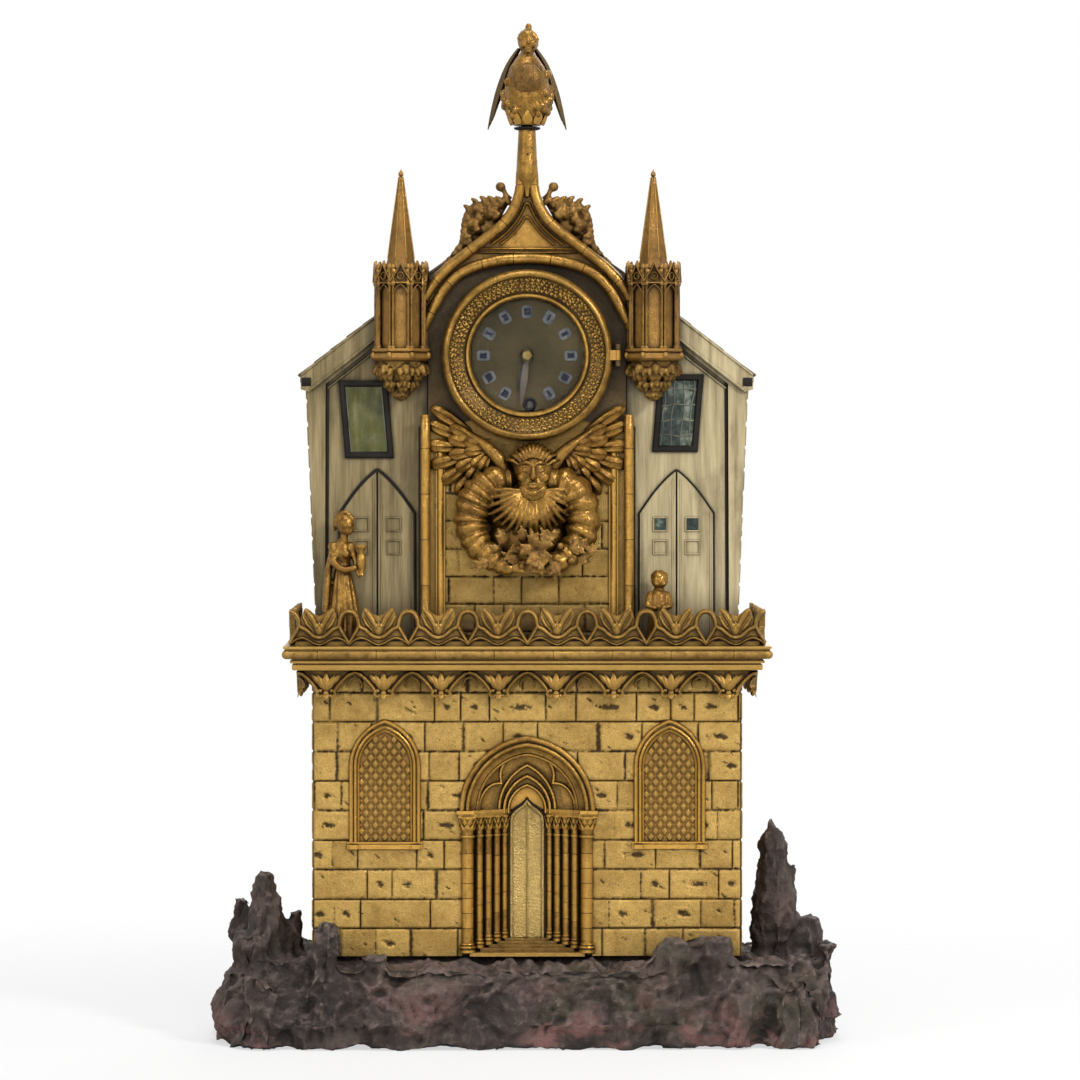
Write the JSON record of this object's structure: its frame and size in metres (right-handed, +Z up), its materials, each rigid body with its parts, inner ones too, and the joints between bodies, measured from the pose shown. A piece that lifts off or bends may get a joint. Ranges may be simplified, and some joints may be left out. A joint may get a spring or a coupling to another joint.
{
  "type": "steeple clock",
  "caption": "Gilt Gothic church-front mantel clock on a rock plinth, with turrets, ogee hood, pierced gallery, portal, glazed hinged bezel, and a movement with pendulum behind a rear door.",
  "frame": {"origin": "middle of the plinth underside, where the clock stands", "axes": "+Z up, -Y towards the dial and the person who looks at it, +X to that person's right"},
  "size_m": [0.356, 0.16, 0.5586],
  "materials": {
    "rock": "carved and painted rock, matte",
    "gilt_masonry": "chased and stippled gilt bronze",
    "gilt": "burnished gilt bronze",
    "painted_board": "aged cream paint on boards",
    "painted_pane": "painted green panes",
    "roof_metal": "dark bronzed sheet",
    "dial_metal": "dark patinated dial plate",
    "enamel": "fired enamel cartouches",
    "blued_steel": "blued steel",
    "bright_steel": "polished steel",
    "movement_brass": "lacquered brass",
    "clear_glass": "flat clear glass"
  },
  "bodies": {
    "case": {"rock_base": "rock", "facade_plate": "gilt_masonry", "side_walls": "gilt_masonry", "lower_back_panel": "roof_metal", "portal_niche": "gilt_masonry", "portal_columns": "gilt", "portal_arch": "gilt", "window_frames": "gilt", "window_lattices": "gilt", "cornice": "gilt", "pendant_frieze": "gilt", "gallery": "gilt", "bay_panel": "gilt_masonry", "bay_colonnettes": "gilt", "winged_bust": "gilt", "leaf_spray": "gilt", "wing_panels": "painted_board", "wing_door_leaves": "painted_board", "wing_windows": "painted_pane", "upper_walls": "painted_board", "roof_slopes": "roof_metal", "barge_boards": "painted_board", "rear_frame": "roof_metal", "rear_hinges": "movement_brass", "turrets": "gilt", "turret_spires": "gilt", "turret_corbels": "gilt", "ogee_hood": "gilt", "dial_arch": "gilt", "hood_crockets": "gilt", "finial_angel": "gilt", "standing_figure": "gilt", "child_figure": "gilt", "bezel_hinge": "movement_brass", "dial": "dial_metal", "dial_numerals": "enamel", "front_plate": "movement_brass", "back_plate": "movement_brass", "movement_pillars": "movement_brass", "back_cock": "movement_brass"},
    "going_centre": {"centre_wheel": "movement_brass", "cannon_pinion": "bright_steel", "minute_hand": "bright_steel", "hand_collet": "movement_brass"},
    "hour_hand_set": {"hour_hand": "blued_steel", "hour_wheel": "movement_brass"},
    "minute_wheel_set": {"minute_wheel": "movement_brass"},
    "third_wheel_set": {"third_wheel": "movement_brass"},
    "escape_wheel_set": {"escape_wheel": "movement_brass"},
    "barrel_set": {"barrel": "movement_brass", "mainspring": "blued_steel"},
    "winding_set": {"winding_arbor": "bright_steel"},
    "click_lever": {"click": "bright_steel"},
    "anchor_set": {"anchor": "bright_steel"},
    "pendulum_set": {"pendulum_rod": "bright_steel", "pendulum_bob": "movement_brass"},
    "bezel_door": {"bezel": "gilt", "bezel_glass": "clear_glass"},
    "rear_door_set": {"rear_door": "roof_metal", "rear_door_knob": "movement_brass"}
  },
  "joints": [
    {"name": "minute_hand_turn", "type": "hinge", "parent": "case", "child": "going_centre", "pos_m": [0, -0.02, 0.377], "axis": [0, 1, 0], "continuous": true},
    {"name": "hour_hand_turn", "type": "hinge", "parent": "case", "child": "hour_hand_set", "pos_m": [0, -0.034, 0.377], "axis": [0, 1, 0], "continuous": true},
    {"name": "minute_wheel_turn", "type": "hinge", "parent": "case", "child": "minute_wheel_set", "pos_m": [0.00849, -0.03, 0.38549], "axis": [0, 1, 0], "continuous": true},
    {"name": "third_wheel_turn", "type": "hinge", "parent": "case", "child": "third_wheel_set", "pos_m": [-0.01016, -0.013, 0.39151], "axis": [0, 1, 0], "continuous": true},
    {"name": "escape_wheel_turn", "type": "hinge", "parent": "case", "child": "escape_wheel_set", "pos_m": [0, -0.013, 0.40409], "axis": [0, 1, 0], "continuous": true},
    {"name": "barrel_turn", "type": "hinge", "parent": "case", "child": "barrel_set", "pos_m": [0.0016, -0.015, 0.3502], "axis": [0, 1, 0], "continuous": true},
    {"name": "winding_turn", "type": "hinge", "parent": "case", "child": "winding_set", "pos_m": [0.0016, -0.015, 0.3502], "axis": [0, 1, 0], "range_deg": [0, 1800]},
    {"name": "click_drop", "type": "hinge", "parent": "case", "child": "click_lever", "pos_m": [0.00645, -0.0294, 0.36224], "axis": [0, 1, 0], "range_deg": [0, 7]},
    {"name": "pendulum_swing", "type": "hinge", "parent": "case", "child": "pendulum_set", "pos_m": [0, 0.01, 0.41889], "axis": [0, 1, 0], "range_deg": [-3, 3]},
    {"name": "anchor_rock", "type": "hinge", "parent": "case", "child": "anchor_set", "pos_m": [0, -0.015, 0.41889], "axis": [0, 1, 0], "range_deg": [-3, 3]},
    {"name": "bezel_swing", "type": "hinge", "parent": "case", "child": "bezel_door", "pos_m": [0.0495, -0.0506, 0.377], "axis": [0, 0, 1], "range_deg": [0, 90]},
    {"name": "rear_door_swing", "type": "hinge", "parent": "case", "child": "rear_door_set", "pos_m": [0.0554, 0.058, 0.31802], "axis": [0, 0, -1], "range_deg": [0, 110]}
  ],
  "couplings": [
    {"joint": "hour_hand_turn", "follows": "minute_hand_turn", "ratio": 0.083333},
    {"joint": "minute_wheel_turn", "follows": "minute_hand_turn", "ratio": -0.33333},
    {"joint": "third_wheel_turn", "follows": "minute_hand_turn", "ratio": -10},
    {"joint": "escape_wheel_turn", "follows": "minute_hand_turn", "ratio": 100},
    {"joint": "barrel_turn", "follows": "minute_hand_turn", "ratio": -0.16667},
    {"joint": "anchor_rock", "follows": "pendulum_swing", "ratio": 1}
  ]
}
